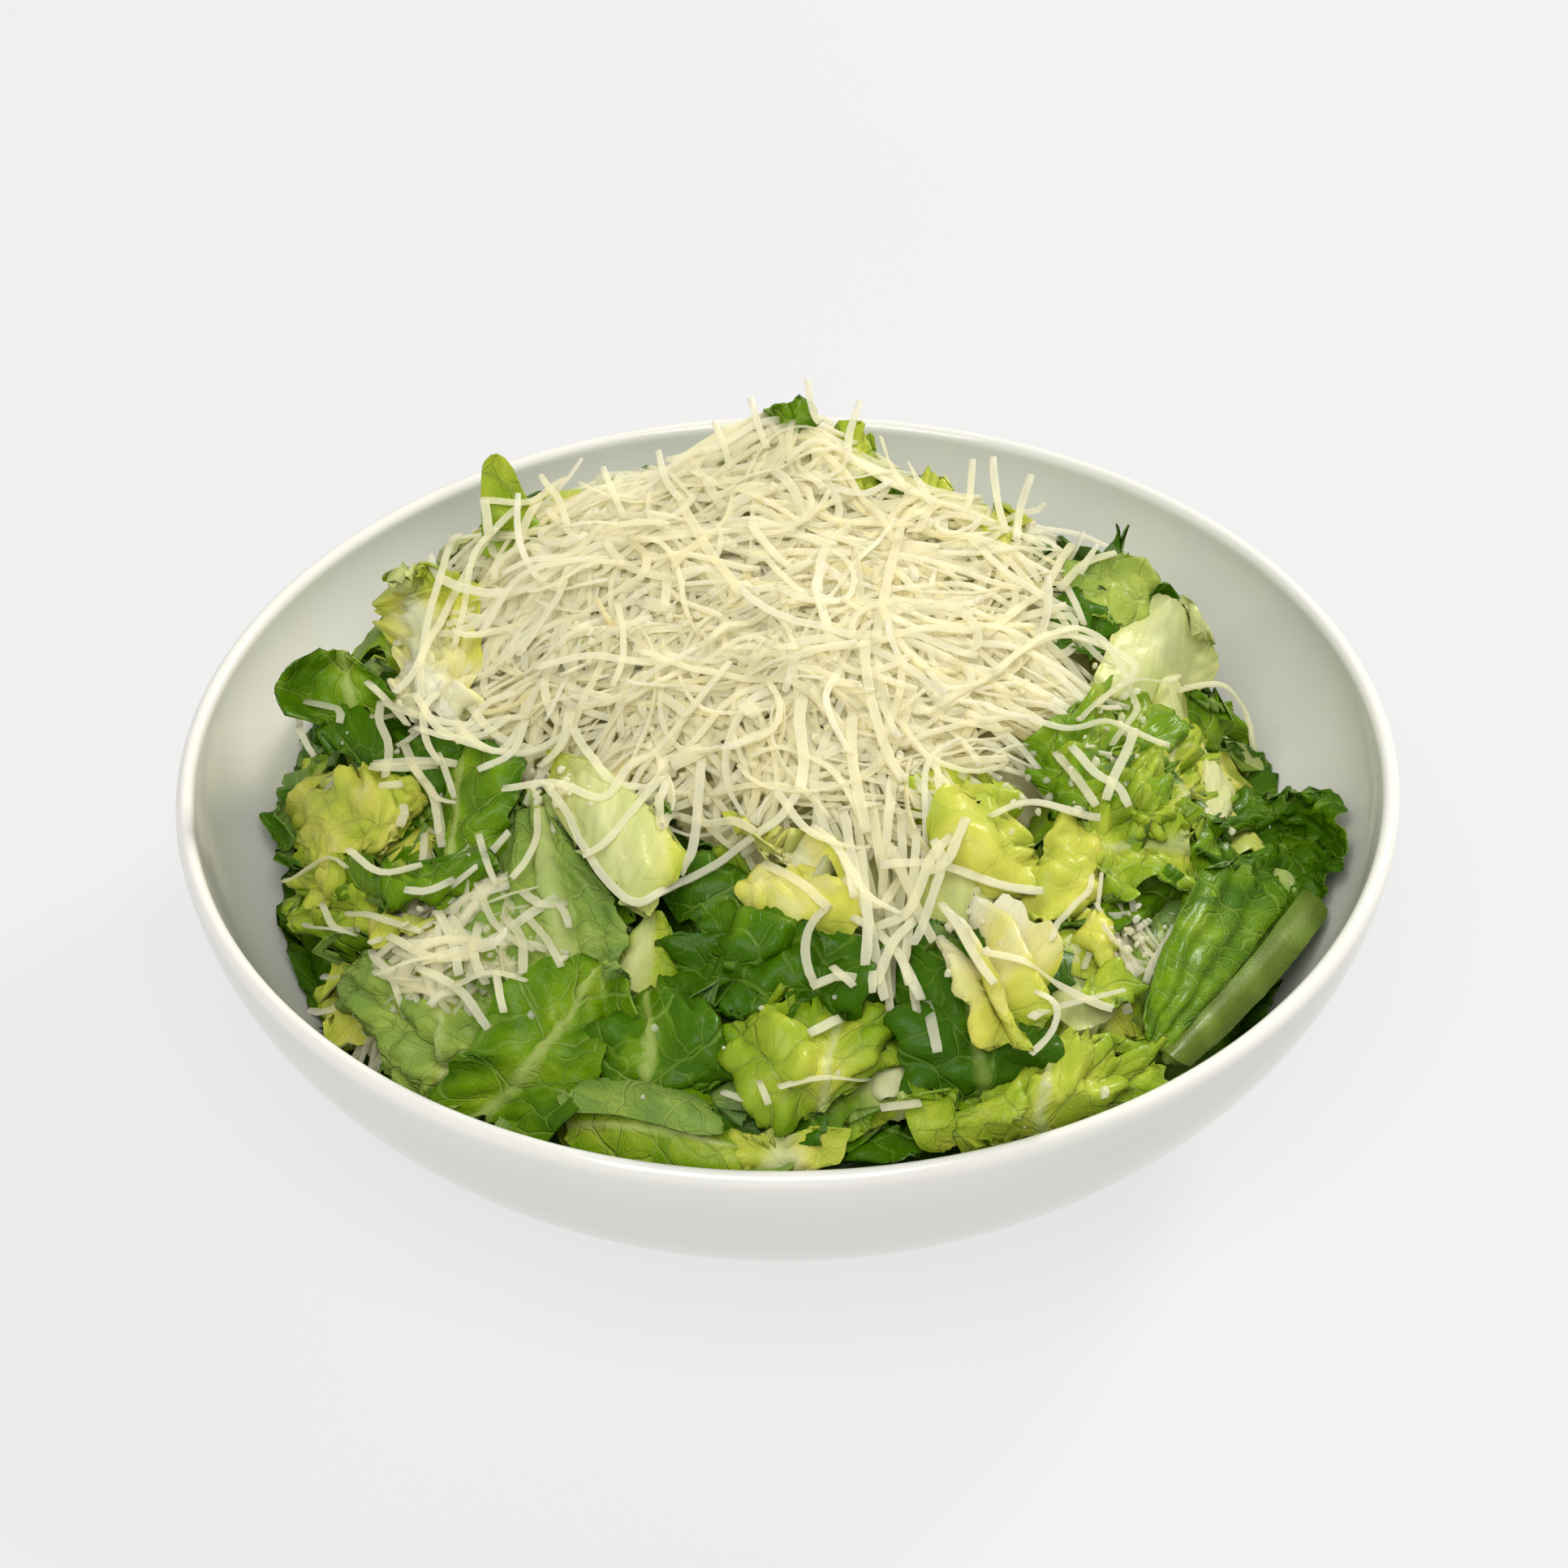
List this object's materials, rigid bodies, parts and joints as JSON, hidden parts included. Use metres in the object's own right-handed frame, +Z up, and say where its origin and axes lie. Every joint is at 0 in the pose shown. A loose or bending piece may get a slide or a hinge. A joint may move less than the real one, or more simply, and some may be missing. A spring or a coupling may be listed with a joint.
{
  "type": "caesar salad in a bowl",
  "caption": "Caesar salad heaped in a white porcelain coupe bowl: torn romaine leaves under a drift of shredded hard cheese.",
  "frame": {"origin": "middle of the foot ring, on the surface that the bowl stands on", "axes": "+Z up; -Y is the front, with the cheese clump at its left; the heap's peak is towards +Y"},
  "size_m": [0.2198, 0.2198, 0.0931],
  "materials": {
    "porcelain": "white porcelain under a clear gloss glaze",
    "romaine": null,
    "cheese": null
  },
  "bodies": {
    "root": {"bowl": "porcelain", "romaine_heap": "romaine", "cheese_mound": "cheese", "cheese_clump_left": "cheese", "cheese_clump_right": "cheese"}
  },
  "joints": []
}
